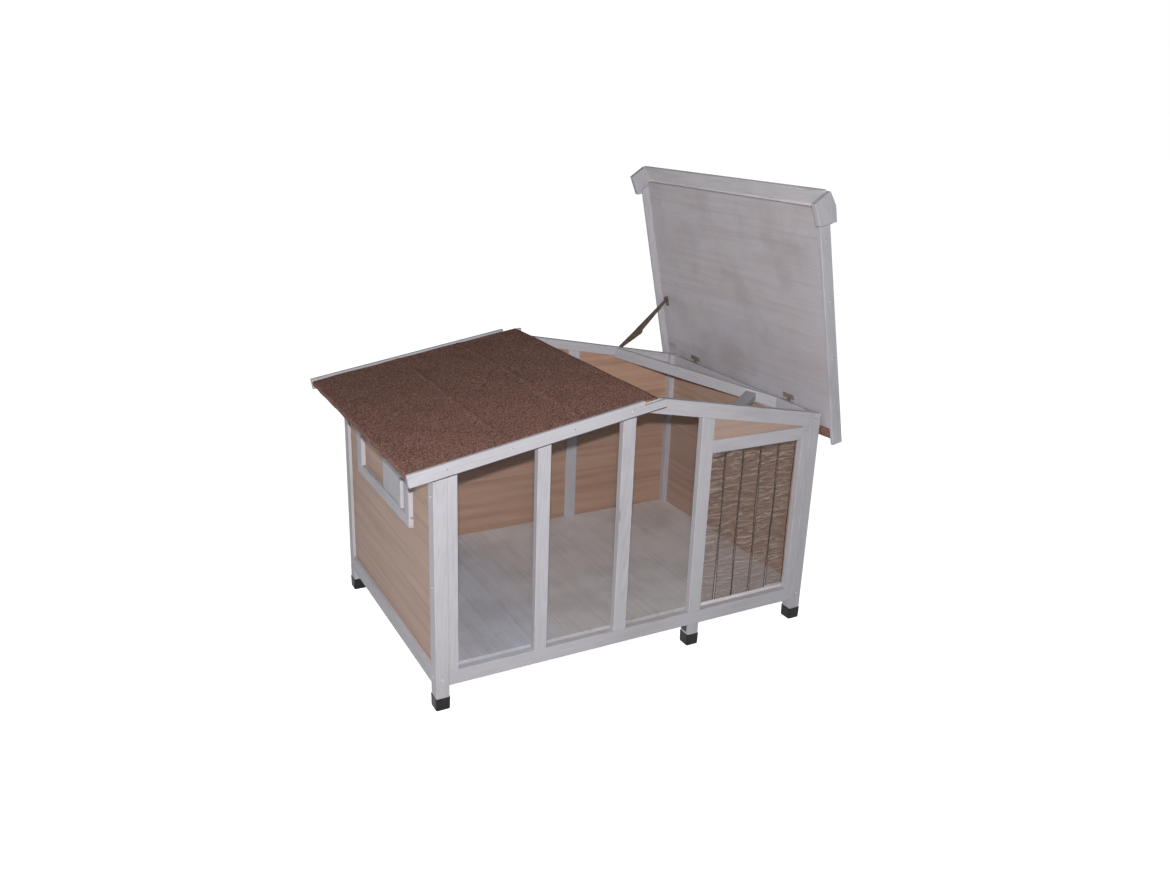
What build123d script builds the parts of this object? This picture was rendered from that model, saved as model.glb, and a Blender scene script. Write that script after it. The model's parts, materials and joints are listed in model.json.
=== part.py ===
from build123d import *
import math
import os

os.makedirs("parts", exist_ok=True)

# Cabin
WIDTH = 1130.0
DEPTH = 740.0
RIDGE_X = WIDTH / 2
RIDGE_Z = 739.0
PITCH = math.radians(10.8)
LEFT_PITCH = math.radians(9.7)

# Timber sections
LEG = 35.0
BOARD = 20.0
RAFTER_DEPTH = 40.0
BACK_RAFTER_DEPTH = 28.0
PANEL = 8.0
PANEL_INSET = 8.0
CAP_HEIGHT = 34.0
CAP_WALL = 1.5
CAP_FLOOR = 3.0
FLOOR_TOP = 110.0
FLOOR_THICK = 10.0

# Front frame
RAIL_LOW = 65.0
FRONT_RAIL_TOP = 104.0
SIDE_RAIL_TOP = 110.0
STILE = 24.0
MULLIONS = [(262.0, 297.0), (494.0, 531.0)]
DOOR_LEFT = 771.0
DOOR_POST_LEFT = 732.0
DOOR_RIGHT = WIDTH - LEG - STILE
HEADER_LOW = 563.0
HEADER_TOP = 599.0
PANE = 3.0
PANE_LAP = 12.0

# Door strips
STRIP_COUNT = 5
STRIP_GAP = 2.0
STRIP_THICK = 2.0
STRIP_Y = 23.0
STRIP_TOP = 561.0
STRIP_BOTTOM = 113.0

# Vent on the left wall
VENT_FRONT = 165.0
VENT_BACK = 600.0
VENT_LOW = 422.0
VENT_HIGH = 590.0
VENT_MEMBER = 28.0
VENT_THICK = 12.0
HOLE = (215.0, 365.0, 465.0, 548.0)
SHUTTER_FRONT = 196.0
SHUTTER_BACK = 384.0
SHUTTER_THICK = 4.0
SHUTTER_TRAVEL = 172.0

# Roof
EAVE = 66.0
BARGE_EAVE = 70.0
OVERHANG = 55.0
BARGE_THICK = 10.0
BARGE_LOW = -20.0
BARGE_HIGH = 15.0
FIXED_BARGE_LOW = -13.0
FIXED_BARGE_HIGH = 18.0
ROOF_PANEL = 9.0
FELT = 2.5
LIFT = 1.0
HINGE_X = WIDTH + 5.0
HINGE_DROP = 5.0
LID_OPEN = 66.8
CAP_BOARD = 8.5
CAP_REACH = 44.0

# Lid stay
STAY_FOOT = (905.0, 660.0)
STAY_LID_S = 194.0
STAY_LID_N = -8.0
STAY_SLACK = 1.0028
ARM_THICK = 3.0
ARM_LOWER_Y = DEPTH + 1.5
ARM_UPPER_Y = DEPTH + 6.0


def box(x0, x1, y0, y1, z0, z1):
    return Pos((x0 + x1) / 2, (y0 + y1) / 2, (z0 + z1) / 2) * Box(x1 - x0, y1 - y0, z1 - z0)


def prism(points, y0, y1):
    """Extrude an outline given as (x, z) pairs from y0 to y1."""
    face = make_face(Polyline([(x, y0, z) for x, z in points], close=True).edges())
    return extrude(face, amount=y1 - y0, dir=(0, 1, 0))


def roof_z(x, drop=0.0):
    """Height at x of the plane that carries the roof, less a drop."""
    pitch = LEFT_PITCH if x < RIDGE_X else PITCH
    return RIDGE_Z - abs(x - RIDGE_X) * math.tan(pitch) - drop


def right_roof(s, n):
    """Point s up the right slope from the hinge line and n above the roof plane."""
    x = HINGE_X - s * math.cos(PITCH) + n * math.sin(PITCH)
    z = roof_z(HINGE_X) + s * math.sin(PITCH) + n * math.cos(PITCH)
    return x, z


def left_roof(s, n):
    """Point on the left slope, with s the same as on the right slope at the ridge."""
    down = (HINGE_X - RIDGE_X) / math.cos(PITCH) - s
    x = RIDGE_X - down * math.cos(LEFT_PITCH) - n * math.sin(LEFT_PITCH)
    z = RIDGE_Z - down * math.sin(LEFT_PITCH) + n * math.cos(LEFT_PITCH)
    return x, z


def slab(side, s0, s1, n0, n1, y0, y1):
    outline = [side(s0, n0), side(s1, n0), side(s1, n1), side(s0, n1)]
    return prism(outline, y0, y1)


def plumb_slab(side, s0, x_end, n0, n1, y0, y1):
    """A sloping board whose upper end is cut plumb at x_end."""
    long_board = slab(side, s0, 640.0, n0, n1, y0, y1)
    low, high = (x_end, 3000.0) if side is left_roof else (-3000.0, x_end)
    return long_board - box(low, high, y0 - 1, y1 + 1, 0, 2000)


def disc(x, y, z, radius, length, direction):
    """A cylinder that starts at a point and runs along a direction."""
    plane = Plane(origin=(x, y, z), z_dir=direction)
    return extrude(plane * Circle(radius), amount=length)


def arm(start, end, y0, wide, narrow):
    """A flat stay arm between two (x, z) pivots, wide at the end point."""
    dx = end[0] - start[0]
    dz = end[1] - start[1]
    length = math.hypot(dx, dz)
    ux, uz = dx / length, dz / length
    outline = [
        (start[0] - uz * narrow, start[1] + ux * narrow),
        (start[0] + uz * narrow, start[1] - ux * narrow),
        (end[0] + uz * wide, end[1] - ux * wide),
        (end[0] - uz * wide, end[1] + ux * wide),
    ]
    body = prism(outline, y0, y0 + ARM_THICK)
    body += disc(start[0], y0, start[1], narrow, ARM_THICK, (0, 1, 0))
    body += disc(end[0], y0, end[1], wide, ARM_THICK, (0, 1, 0))
    return body


def post(x0, x1, y0, y1, z0):
    outline = [(x0, z0), (x1, z0), (x1, roof_z(x1)), (x0, roof_z(x0))]
    return prism(outline, y0, y1)


def upright(x0, x1, z0):
    """A front frame member that stops under the rafters."""
    drop = RAFTER_DEPTH / math.cos(PITCH)
    points = [(x0, z0), (x1, z0), (x1, roof_z(x1, drop)), (x0, roof_z(x0, drop))]
    return prism(points, 0, BOARD)


def rafter(x0, x1, y0, y1, depth=RAFTER_DEPTH):
    drop = depth / math.cos(PITCH)
    points = [(x0, roof_z(x0, drop)), (x1, roof_z(x1, drop)), (x1, roof_z(x1)), (x0, roof_z(x0))]
    return prism(points, y0, y1)


def gabled(x0, x1, z0, drop, y0, y1):
    """A sheet with a level foot and a top that follows the roof."""
    tops = [(x1, roof_z(x1, drop))]
    if x0 < RIDGE_X < x1:
        tops.append((RIDGE_X, roof_z(RIDGE_X, drop)))
    tops.append((x0, roof_z(x0, drop)))
    return prism([(x0, z0), (x1, z0)] + tops, y0, y1)


parts = {}

# Legs, posts and feet
post_base = CAP_FLOOR
far_x = WIDTH - LEG
far_y = DEPTH - LEG
parts["corner_post_front_left"] = post(0, LEG, 0, LEG, post_base)
parts["corner_post_front_right"] = post(far_x, WIDTH, 0, LEG, post_base)
parts["corner_post_back_left"] = post(0, LEG, far_y, DEPTH, post_base)
parts["corner_post_back_right"] = post(far_x, WIDTH, far_y, DEPTH, post_base)
parts["door_post"] = upright(DOOR_POST_LEFT, DOOR_LEFT, FRONT_RAIL_TOP)
mid_x = (DOOR_POST_LEFT + DOOR_LEFT - LEG) / 2
parts["middle_legs"] = Compound([
    box(mid_x, mid_x + LEG, y, y + LEG, post_base, RAIL_LOW) for y in (0, far_y)
])


def foot_cap(x, y):
    outer = box(x - CAP_WALL, x + LEG + CAP_WALL, y - CAP_WALL, y + LEG + CAP_WALL, 0, CAP_HEIGHT)
    outer = chamfer(outer.edges().group_by(Axis.Z)[0], 1.2)
    return outer - box(x, x + LEG, y, y + LEG, CAP_FLOOR, CAP_HEIGHT + 1)


parts["foot_caps"] = Compound([
    foot_cap(x, y) for x in (0, mid_x, far_x) for y in (0, far_y)
])

# Bottom rails, floor and its bearers
parts["bottom_rail_front"] = box(LEG, far_x, 0, BOARD, RAIL_LOW, FRONT_RAIL_TOP)
parts["bottom_rail_back"] = box(LEG, far_x, DEPTH - BOARD, DEPTH, RAIL_LOW, SIDE_RAIL_TOP)
parts["bottom_rails_side"] = Compound([
    box(x, x + BOARD, LEG, far_y, RAIL_LOW, SIDE_RAIL_TOP) for x in (0, WIDTH - BOARD)
])
floor_y0 = BOARD + PANE + 1
floor = box(BOARD, WIDTH - BOARD, floor_y0, DEPTH - BOARD, FLOOR_TOP - FLOOR_THICK, FLOOR_TOP)
for x in (0, far_x):
    for y in (0, far_y):
        floor -= box(x, x + LEG, y, y + LEG, 0, 200)
parts["floor_panel"] = floor
parts["floor_bearers"] = Compound([
    box(x, x + 30, floor_y0, DEPTH - BOARD, RAIL_LOW + 10, FLOOR_TOP - FLOOR_THICK)
    for x in (250, 650, 1000)
])

# Front frame, windows and door surround
parts["front_stiles"] = Compound([
    upright(LEG, LEG + STILE, FRONT_RAIL_TOP),
    upright(DOOR_RIGHT, far_x, FRONT_RAIL_TOP),
])
parts["window_mullions"] = Compound([
    upright(x0, x1, FRONT_RAIL_TOP) for x0, x1 in MULLIONS
])
parts["door_header"] = box(DOOR_LEFT, DOOR_RIGHT, 0, BOARD, HEADER_LOW, HEADER_TOP)
parts["gable_infill"] = gabled(
    DOOR_LEFT, DOOR_RIGHT, HEADER_TOP, RAFTER_DEPTH / math.cos(PITCH), 7, 7 + PANEL
)
parts["rafter_front_left"] = rafter(LEG, RIDGE_X, 0, BOARD)
parts["rafter_front_right"] = rafter(RIDGE_X, far_x, 0, BOARD)
parts["rafter_back_left"] = rafter(LEG, RIDGE_X, DEPTH - BOARD, DEPTH, BACK_RAFTER_DEPTH)
parts["rafter_back_right"] = rafter(RIDGE_X, far_x, DEPTH - BOARD, DEPTH, BACK_RAFTER_DEPTH)
bays = [
    ("left", LEG + STILE, MULLIONS[0][0]),
    ("middle", MULLIONS[0][1], MULLIONS[1][0]),
    ("right", MULLIONS[1][1], DOOR_POST_LEFT),
]
for name, x0, x1 in bays:
    parts["window_pane_" + name] = gabled(
        x0 - PANE_LAP, x1 + PANE_LAP, FRONT_RAIL_TOP - 8, 25, BOARD, BOARD + PANE
    )

# Walls
stile_x = (719.0, 757.0)
panel_y = DEPTH - PANEL_INSET - PANEL
plate_drop = BACK_RAFTER_DEPTH / math.cos(PITCH)
parts["back_stile"] = prism(
    [(stile_x[0], SIDE_RAIL_TOP), (stile_x[1], SIDE_RAIL_TOP),
     (stile_x[1], roof_z(stile_x[1], plate_drop)), (stile_x[0], roof_z(stile_x[0], plate_drop))],
    DEPTH - BOARD, DEPTH,
)
parts["back_panel_left"] = gabled(LEG, stile_x[0], SIDE_RAIL_TOP, plate_drop, panel_y, panel_y + PANEL)
parts["back_panel_right"] = gabled(stile_x[1], far_x, SIDE_RAIL_TOP, plate_drop, panel_y, panel_y + PANEL)
plate_low = 592.0
side_plate = prism(
    [(0, plate_low), (BOARD, plate_low), (BOARD, roof_z(BOARD)), (0, roof_z(0))], LEG, far_y
)
parts["top_rail_left"] = side_plate
parts["top_rail_right"] = prism(
    [(WIDTH - BOARD, plate_low), (WIDTH, plate_low),
     (WIDTH, roof_z(WIDTH, 2)), (WIDTH - BOARD, roof_z(WIDTH - BOARD, 2))],
    LEG, far_y,
)
left_panel = box(PANEL_INSET, PANEL_INSET + PANEL, LEG, far_y, SIDE_RAIL_TOP, plate_low)
left_panel -= box(-5, 40, HOLE[0], HOLE[1], HOLE[2], HOLE[3])
parts["left_wall_panel"] = left_panel
parts["right_wall_panel"] = box(
    WIDTH - PANEL_INSET - PANEL, WIDTH - PANEL_INSET, LEG, far_y, SIDE_RAIL_TOP, plate_low
)

# Vent frame, shutter and its pull
vent_x = PANEL_INSET - VENT_THICK
groove = box(1.0, 6.0, SHUTTER_FRONT - 1, VENT_BACK, VENT_LOW + VENT_MEMBER - 5, VENT_HIGH - VENT_MEMBER + 5)
inner_front = VENT_FRONT + VENT_MEMBER
inner_back = VENT_BACK - VENT_MEMBER - 10
vent_members = [
    box(vent_x, PANEL_INSET, VENT_FRONT, VENT_BACK, VENT_LOW, VENT_LOW + VENT_MEMBER) - groove,
    box(vent_x, PANEL_INSET, VENT_FRONT, VENT_BACK, VENT_HIGH - VENT_MEMBER, VENT_HIGH) - groove,
    box(vent_x, PANEL_INSET, VENT_FRONT, inner_front, VENT_LOW + VENT_MEMBER, VENT_HIGH - VENT_MEMBER),
    box(vent_x, PANEL_INSET, inner_back, VENT_BACK, VENT_LOW + VENT_MEMBER, VENT_HIGH - VENT_MEMBER),
]
parts["vent_frame"] = Compound(vent_members)
shutter_z0 = VENT_LOW + VENT_MEMBER - 4
shutter_z1 = VENT_HIGH - VENT_MEMBER + 4
parts["vent_shutter"] = box(
    1.5, 1.5 + SHUTTER_THICK, SHUTTER_FRONT, SHUTTER_BACK, shutter_z0, shutter_z1
)
pull = box(-9.0, 1.5, 210, 236, 456, 530)
parts["shutter_pull"] = chamfer(pull.edges().group_by(Axis.X)[0], 2.0)

# Diagonal braces of the roof opening
BRACE_DEEP = 34.0


def brace(x0, y0, x1, y1, thick):
    """An upright board on edge between two plan points, its top along the roof plane."""
    length = math.hypot(x1 - x0, y1 - y0)
    nx, ny = -(y1 - y0) / length * thick / 2, (x1 - x0) / length * thick / 2
    outline = Polyline([
        (x0 + nx, y0 + ny, 0), (x1 + nx, y1 + ny, 0),
        (x1 - nx, y1 - ny, 0), (x0 - nx, y0 - ny, 0),
    ], close=True)
    column = extrude(make_face(outline.edges()), amount=900, dir=(0, 0, 1))
    drop = BRACE_DEEP / math.cos(PITCH)
    strip = prism(
        [(500.0 + 66, roof_z(566, drop)), (1130, roof_z(1130, drop)),
         (1130, roof_z(1130, 1)), (566, roof_z(566, 1))], BOARD, DEPTH - BOARD,
    )
    inside = strip - box(WIDTH - BOARD, 1200, -10, 800, 0, 900)
    return column & inside


BRACE_THICK = 18.0
BRACE_WIDE_DROP = 8.0
back_brace = brace(886.3, 738, 1124, 158, BRACE_THICK)
# The front brace lies flat at 45 degrees and butts against the back one
flat_plan = Polyline([(828.7, 20, 0), (873.3, 20, 0), (1084.4, 231.1, 0), (1071.5, 262.8, 0)], close=True)
flat_column = extrude(make_face(flat_plan.edges()), amount=900, dir=(0, 0, 1))
flat_low = BRACE_WIDE_DROP + BRACE_THICK / math.cos(PITCH)
flat_layer = prism(
    [(566, roof_z(566, flat_low)), (1130, roof_z(1130, flat_low)),
     (1130, roof_z(1130, BRACE_WIDE_DROP)), (566, roof_z(566, BRACE_WIDE_DROP))],
    BOARD, DEPTH - BOARD,
)
parts["roof_braces"] = Compound([back_brace, flat_column & flat_layer])

# Fixed left half of the roof
front_y = -OVERHANG
back_y = DEPTH + OVERHANG
inner_y0 = front_y + BARGE_THICK
inner_y1 = back_y - BARGE_THICK
top_s = 577.5


def felt_sheet(side, n_under, n_top, s_top):
    """Roofing felt that lies on a panel and turns under its eave."""
    sheet = slab(side, -EAVE - FELT, s_top, n_top, n_top + FELT, inner_y0, inner_y1)
    drop = slab(side, -EAVE - FELT, -EAVE, n_under - FELT, n_top, inner_y0, inner_y1)
    tuck = slab(side, -EAVE, -EAVE + 30, n_under - FELT, n_under, inner_y0, inner_y1)
    return sheet + drop + tuck


parts["fixed_roof_panel"] = slab(left_roof, -EAVE, top_s, 0, ROOF_PANEL, inner_y0, inner_y1)
parts["fixed_roof_felt"] = felt_sheet(left_roof, 0, ROOF_PANEL, top_s)
notch_x = 519.0
notch = slab(left_roof, 500, 660, 6.5, 40, front_y - 5, back_y + 5)
notch -= box(0, notch_x, -100, 900, 0, 900)
for name, y0, y1 in (("front", front_y, inner_y0), ("back", inner_y1, back_y)):
    board = plumb_slab(left_roof, -BARGE_EAVE, 581.0, FIXED_BARGE_LOW, FIXED_BARGE_HIGH, y0, y1)
    parts["fixed_barge_" + name] = board - notch

# Hinged right half of the roof, drawn shut and turned open below
lid = {}
lid_top = top_s - 1.5
lid["lid_panel"] = slab(right_roof, -EAVE, lid_top, LIFT, LIFT + ROOF_PANEL, inner_y0, inner_y1)
lid["lid_felt"] = felt_sheet(right_roof, LIFT, LIFT + ROOF_PANEL, lid_top)
for name, y0, y1 in (("front", front_y, inner_y0), ("back", inner_y1, back_y)):
    lid["lid_barge_" + name] = plumb_slab(
        right_roof, -BARGE_EAVE, 583.0, BARGE_LOW, LIFT + ROOF_PANEL + FELT, y0, y1
    )
cap_n = LIFT + ROOF_PANEL + FELT
cap_s = (HINGE_X - RIDGE_X) / math.cos(PITCH)
ridge_top = RIDGE_Z + (cap_n + CAP_BOARD) / math.cos(PITCH)
ridge_under = RIDGE_Z + cap_n / math.cos(PITCH)
parts_y = (front_y, back_y)
near_plank = prism(
    [(RIDGE_X, ridge_under), right_roof(cap_s - CAP_REACH, cap_n),
     right_roof(cap_s - CAP_REACH, cap_n + CAP_BOARD), (RIDGE_X, ridge_top)], *parts_y
)
far_plank = prism(
    [(RIDGE_X, ridge_under), left_roof(cap_s - CAP_REACH + 2, cap_n),
     left_roof(cap_s - CAP_REACH + 2, cap_n + CAP_BOARD), (RIDGE_X, ridge_top)], *parts_y
)
lid["ridge_cap_boards"] = Compound([near_plank, far_plank])
plate = [
    (RIDGE_X, ridge_top), (RIDGE_X + 41, ridge_top - 41 * math.tan(PITCH)),
    (RIDGE_X + 30, ridge_top - 62), (RIDGE_X - 30, ridge_top - 62),
    (RIDGE_X - 41, ridge_top - 41 * math.tan(PITCH)),
]
lid["ridge_cap_end_plates"] = Compound([
    prism(plate, front_y - 16, front_y), prism(plate, back_y, back_y + 16)
])

# Butt hinges at the right eave
PIVOT = (HINGE_X, roof_z(HINGE_X) - HINGE_DROP / math.cos(PITCH))
HINGE_SPANS = ((126.0, 174.0), (600.0, 648.0))
BARREL = 3.5
PIN = 1.5
fixed_leaves = []
lid_leaves = []
for y0, y1 in HINGE_SPANS:
    third = (y1 - y0) / 3
    wall_leaf = box(WIDTH, WIDTH + 1.2, y0, y1, PIVOT[1] - 26, PIVOT[1] - 1)
    for start in (y0, y1 - third):
        wall_leaf += disc(PIVOT[0], start, PIVOT[1], BARREL, third - 0.4, (0, 1, 0))
    wall_leaf += disc(PIVOT[0], y0 + third - 0.4, PIVOT[1], PIN, third + 0.8, (0, 1, 0))
    fixed_leaves.append(wall_leaf)
    top_leaf = slab(right_roof, -1.0, 21, -0.4, LIFT, y0 + third, y1 - third)
    top_leaf += slab(right_roof, 6.5, 21, -0.4, LIFT, y0, y1)
    knuckle = disc(PIVOT[0], y0 + third, PIVOT[1], BARREL, third, (0, 1, 0))
    knuckle += slab(right_roof, -1.0, 1.0, -HINGE_DROP + 1.7, 0, y0 + third, y1 - third)
    top_leaf += knuckle
    top_leaf -= disc(PIVOT[0], y0, PIVOT[1], PIN + 0.15, y1 - y0, (0, 1, 0))
    lid_leaves.append(top_leaf)
parts["hinge_wall_leaves"] = Compound(fixed_leaves)
lid["hinge_lid_leaves"] = Compound(lid_leaves)


def opened(shape, degrees=LID_OPEN):
    """Turn a shape drawn shut about the hinge line until the lid stands open."""
    move = Pos(PIVOT[0], 0, PIVOT[1]) * Rot(0, degrees, 0) * Pos(-PIVOT[0], 0, -PIVOT[1])
    return move * shape


def opened_point(x, z, degrees=LID_OPEN):
    turn = math.radians(degrees)
    dx = x - PIVOT[0]
    dz = z - PIVOT[1]
    return (PIVOT[0] + dx * math.cos(turn) + dz * math.sin(turn),
            PIVOT[1] - dx * math.sin(turn) + dz * math.cos(turn))


# Folding stay near the back edge of the lid
shut_pin = right_roof(STAY_LID_S, STAY_LID_N)
open_pin = opened_point(*shut_pin)
reach = math.dist(open_pin, STAY_FOOT) * STAY_SLACK
folded = math.dist(shut_pin, STAY_FOOT)
LOWER_ARM = (reach - folded) / 2
UPPER_ARM = (reach + folded) / 2


def elbow(pin, side=1):
    """Where the knuckle sits for one position of the lid pin, above or below the straight line."""
    dx = pin[0] - STAY_FOOT[0]
    dz = pin[1] - STAY_FOOT[1]
    span = math.hypot(dx, dz)
    cosine = (LOWER_ARM ** 2 + span ** 2 - UPPER_ARM ** 2) / (2 * LOWER_ARM * span)
    angle = math.atan2(dz, dx) + side * math.acos(max(-1.0, min(1.0, cosine)))
    return (STAY_FOOT[0] + LOWER_ARM * math.cos(angle),
            STAY_FOOT[1] + LOWER_ARM * math.sin(angle))


KNUCKLE = elbow(open_pin, -1)
shut_knuckle = elbow(shut_pin)
LOWER_WIDE = 13.0
LOWER_NARROW = 4.0
UPPER_WIDE = 11.0
UPPER_NARROW = 4.5
RIVET = 2.0
back = (0, 1, 0)
lower = arm(STAY_FOOT, KNUCKLE, ARM_LOWER_Y, LOWER_WIDE, LOWER_NARROW)
lower -= disc(STAY_FOOT[0], DEPTH, STAY_FOOT[1], RIVET + 0.3, 20, back)
lower += disc(KNUCKLE[0], ARM_LOWER_Y - 1.0, KNUCKLE[1], 4.0, 1.2, back)
parts["stay_lower_arm"] = lower
upper = arm(open_pin, KNUCKLE, ARM_UPPER_Y, UPPER_WIDE, UPPER_NARROW)
upper -= disc(open_pin[0], DEPTH, open_pin[1], RIVET + 0.3, 20, back)
upper += disc(KNUCKLE[0], ARM_UPPER_Y + ARM_THICK - 0.2, KNUCKLE[1], 4.0, 1.4, back)
parts["stay_upper_arm"] = upper
foot_plate = box(STAY_FOOT[0] - 16, STAY_FOOT[0] + 16, DEPTH, DEPTH + 1.2,
                 STAY_FOOT[1] - 9, STAY_FOOT[1] + 6)
foot_plate += disc(STAY_FOOT[0], DEPTH + 1, STAY_FOOT[1], RIVET, 4.5, back)
foot_plate += disc(STAY_FOOT[0], ARM_LOWER_Y + ARM_THICK + 0.2, STAY_FOOT[1], 3.6, 0.8, back)
parts["stay_frame_bracket"] = foot_plate
ear_y = ARM_UPPER_Y + ARM_THICK + 0.5
ear = slab(right_roof, STAY_LID_S - 9, STAY_LID_S + 9, STAY_LID_N - 6, LIFT - 2, ear_y, ear_y + 2)
foot = slab(right_roof, STAY_LID_S - 24, STAY_LID_S + 8, LIFT - 2, LIFT, ear_y, ear_y + 14)
pin = disc(shut_pin[0], ARM_UPPER_Y - 0.3, shut_pin[1], RIVET, 4.5, back)
lid["stay_lid_bracket"] = ear + foot + pin

# Door strips and their clamp
lane = (DOOR_RIGHT - DOOR_LEFT) / STRIP_COUNT
for index in range(STRIP_COUNT):
    x0 = DOOR_LEFT + index * lane + STRIP_GAP / 2
    low = STRIP_BOTTOM + (6.0 if index == STRIP_COUNT - 1 else 0.0)
    parts["door_strip_%d" % (index + 1)] = box(
        x0, x0 + lane - STRIP_GAP, STRIP_Y - STRIP_THICK / 2, STRIP_Y + STRIP_THICK / 2, low, STRIP_TOP
    )
parts["strip_clamp_bar"] = box(DOOR_LEFT - 10, DOOR_RIGHT + 6, BOARD, BOARD + 12, HEADER_LOW + 3, HEADER_TOP)

# Small steel parts
bracket = box(mid_x - 2.5, mid_x, 8, 26, 42, RAIL_LOW) + box(mid_x - 20, mid_x, 8, 26, RAIL_LOW - 2.5, RAIL_LOW)
parts["leg_brackets"] = Compound([bracket, Pos(0, DEPTH - 34, 0) * bracket])
heads = []
for x, y in ((0, 17.5), (0, DEPTH - 17.5)):
    for z in (88.0, 330.0, 560.0):
        heads.append(disc(x, y, z, 3.2, 0.8, (-1, 0, 0)))
for x, y in ((WIDTH, 17.5), (WIDTH, DEPTH - 17.5)):
    for z in (88.0, 330.0, 560.0):
        heads.append(disc(x, y, z, 3.2, 0.8, (1, 0, 0)))
for x in (17.5, WIDTH - 17.5):
    for z in (84.0, 616.0):
        heads.append(disc(x, 0, z, 3.2, 0.8, (0, -1, 0)))
for s in (20, 180, 340, 500):
    x, z = left_roof(s, (FIXED_BARGE_LOW + FIXED_BARGE_HIGH) / 2)
    heads.append(disc(x, front_y, z, 3.2, 0.8, (0, -1, 0)))
    heads.append(disc(x, back_y, z, 3.2, 0.8, (0, 1, 0)))
parts["screws_house"] = Compound(heads)
lid_heads = []
for s in (20, 180, 340, 500):
    x, z = right_roof(s, (BARGE_LOW + BARGE_HIGH) / 2)
    lid_heads.append(disc(x, front_y, z, 3.2, 0.8, (0, -1, 0)))
    lid_heads.append(disc(x, back_y, z, 3.2, 0.8, (0, 1, 0)))
lid["screws_lid"] = Compound(lid_heads)

for name, shape in lid.items():
    parts[name] = opened(shape)

# The origin is the middle of the whole footprint, on the ground
boxes = [shape.bounding_box() for shape in parts.values()]
ORIGIN_X = (min(b.min.X for b in boxes) + max(b.max.X for b in boxes)) / 2
ORIGIN_Y = (min(b.min.Y for b in boxes) + max(b.max.Y for b in boxes)) / 2
for name, shape in parts.items():
    placed = Pos(-ORIGIN_X, -ORIGIN_Y, 0) * shape
    export_step(placed, "parts/%s.step" % name)
    parts[name] = placed
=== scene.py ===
import json
import math

import bmesh
import bpy
import numpy as np
from mathutils import Matrix, Vector


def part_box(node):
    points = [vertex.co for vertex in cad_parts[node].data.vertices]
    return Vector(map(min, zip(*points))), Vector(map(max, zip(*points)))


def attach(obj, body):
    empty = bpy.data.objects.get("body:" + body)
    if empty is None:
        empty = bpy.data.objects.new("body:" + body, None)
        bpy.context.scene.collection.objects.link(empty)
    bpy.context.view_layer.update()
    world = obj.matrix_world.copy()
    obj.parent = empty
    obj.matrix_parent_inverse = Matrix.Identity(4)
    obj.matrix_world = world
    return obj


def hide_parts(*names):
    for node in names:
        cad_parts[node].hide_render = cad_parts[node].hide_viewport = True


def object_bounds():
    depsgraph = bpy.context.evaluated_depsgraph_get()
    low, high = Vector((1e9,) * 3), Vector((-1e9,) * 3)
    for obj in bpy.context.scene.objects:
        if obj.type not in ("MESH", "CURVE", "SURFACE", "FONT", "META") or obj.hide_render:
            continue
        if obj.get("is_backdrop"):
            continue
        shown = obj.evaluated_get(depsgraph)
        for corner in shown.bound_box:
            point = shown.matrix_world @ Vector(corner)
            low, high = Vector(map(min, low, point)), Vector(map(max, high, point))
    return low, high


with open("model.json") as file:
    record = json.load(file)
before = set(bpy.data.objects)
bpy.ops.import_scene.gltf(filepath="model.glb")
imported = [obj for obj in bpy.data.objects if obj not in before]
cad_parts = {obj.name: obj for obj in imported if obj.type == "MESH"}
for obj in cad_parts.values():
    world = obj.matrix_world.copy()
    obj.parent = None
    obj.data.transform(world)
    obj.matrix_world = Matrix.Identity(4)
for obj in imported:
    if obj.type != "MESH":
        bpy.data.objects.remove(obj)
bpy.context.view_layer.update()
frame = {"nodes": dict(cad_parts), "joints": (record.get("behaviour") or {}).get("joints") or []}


# Camera -----------------------------------------------------------------------
# It looks down a little on the front left corner from standing height, and is rolled
# slightly to one side.
eye = Vector((-1.252771, -2.340868, 1.415263))
turn, rise, roll = (math.radians(a) for a in (-29.0663, 18.6619, 2.1029))
away = Vector((math.sin(turn) * math.cos(rise), -math.cos(turn) * math.cos(rise), math.sin(rise)))
level = Vector((math.cos(turn), math.sin(turn), 0.0))
upward = away.cross(level)
across = level * math.cos(roll) + upward * math.sin(roll)
upward = upward * math.cos(roll) - level * math.sin(roll)
camera_data = bpy.data.cameras.new("camera")
camera_data.sensor_width = 36.0
camera_data.lens = 30.378
camera = bpy.data.objects.new("camera", camera_data)
camera.matrix_world = Matrix.Translation(eye) @ Matrix((across, upward, away)).transposed().to_4x4()
bpy.context.scene.collection.objects.link(camera)
bpy.context.scene.camera = camera
bpy.context.scene.view_settings.view_transform = "Standard"


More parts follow.
